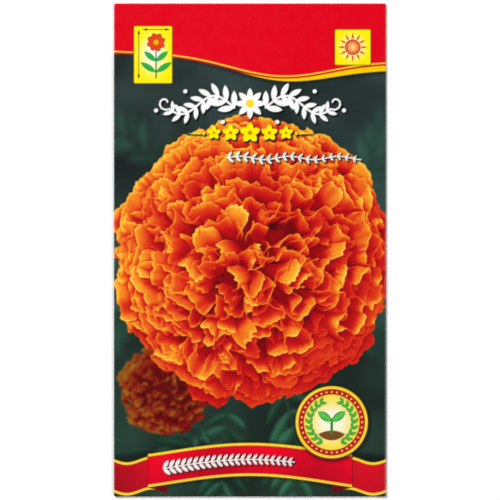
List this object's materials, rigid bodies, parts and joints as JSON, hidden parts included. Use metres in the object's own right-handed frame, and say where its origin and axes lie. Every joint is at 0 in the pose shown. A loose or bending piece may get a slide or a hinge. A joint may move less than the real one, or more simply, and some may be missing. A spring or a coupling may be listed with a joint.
{
  "type": "seed packet",
  "caption": "Flat paper packet, folded and glued shut, with a gently crowned printed front, side and top flaps on its back, and loose seeds inside",
  "frame": {"origin": "the middle of the packet's footprint, on the surface that it lies on", "axes": "+X across the packet, to the right as its front is read; +Y up the packet, towards its top edge; +Z out of the printed front panel"},
  "size_m": [0.08, 0.145, 0.0029],
  "materials": {
    "coated_paper": "coated and offset-printed sheet under a thin gloss varnish; the colour is the mean of the front print, and the inside is bare white paper",
    "dried_glue": "dried dispersion glue, cloudy and slightly yellow",
    "seed_husk": "dry ribbed seed coat, near black, with a straw-coloured tuft"
  },
  "bodies": {
    "root": {"paper_packet": "coated_paper", "glue_strip_left": "dried_glue", "glue_strip_right": "dried_glue", "glue_strip_top": "dried_glue", "seed_01": "seed_husk", "seed_02": "seed_husk", "seed_03": "seed_husk", "seed_04": "seed_husk", "seed_05": "seed_husk", "seed_06": "seed_husk", "seed_07": "seed_husk", "seed_08": "seed_husk", "seed_09": "seed_husk", "seed_10": "seed_husk", "seed_11": "seed_husk", "seed_12": "seed_husk", "seed_13": "seed_husk", "seed_14": "seed_husk", "seed_15": "seed_husk", "seed_16": "seed_husk", "seed_17": "seed_husk", "seed_18": "seed_husk", "seed_19": "seed_husk", "seed_20": "seed_husk", "seed_21": "seed_husk", "seed_22": "seed_husk", "seed_23": "seed_husk", "seed_24": "seed_husk"}
  },
  "joints": []
}
